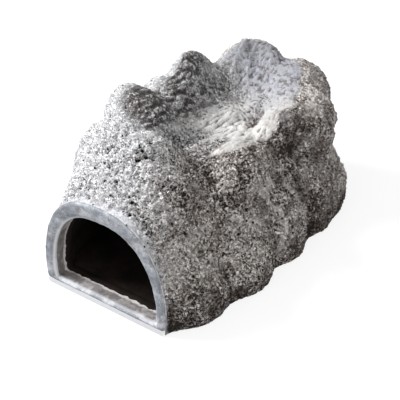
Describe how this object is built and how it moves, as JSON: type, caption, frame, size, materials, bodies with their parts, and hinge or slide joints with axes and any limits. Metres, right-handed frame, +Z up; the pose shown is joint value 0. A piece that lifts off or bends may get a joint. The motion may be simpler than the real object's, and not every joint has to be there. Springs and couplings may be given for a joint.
{
  "type": "cave ornament",
  "caption": "Hollow cast-resin rock cave with a smooth arched mouth frame, lobed flanks and a shallow dish sunk into its top, on a glued base plate with round pads.",
  "frame": {"origin": "middle of the footprint, on the plane the pads stand on", "axes": "+Z up, +Y from the mouth into the cave, +X to the right of someone who looks into the mouth"},
  "size_m": [0.1597, 0.2557, 0.1119],
  "materials": {
    "rock": "matt cast resin with stone filler, pitted, dark wash in the hollows and dry-brushed white on the ridges",
    "frame": "smooth matt cast resin, pale grey with a thin bluish wash",
    "base": "smooth matt cast resin",
    "lining": "matt dark brown coat",
    "glue": "set epoxy glue",
    "pad": "matt rubber"
  },
  "bodies": {
    "root": {"rock_shell": "rock", "cavity_lining": "lining", "mouth_frame": "frame", "base_plate": "base", "base_bond_bead": "glue", "frame_bond_bead": "glue", "pad_front_left": "pad", "pad_front_right": "pad", "pad_rear_left": "pad", "pad_rear_right": "pad"}
  },
  "joints": []
}
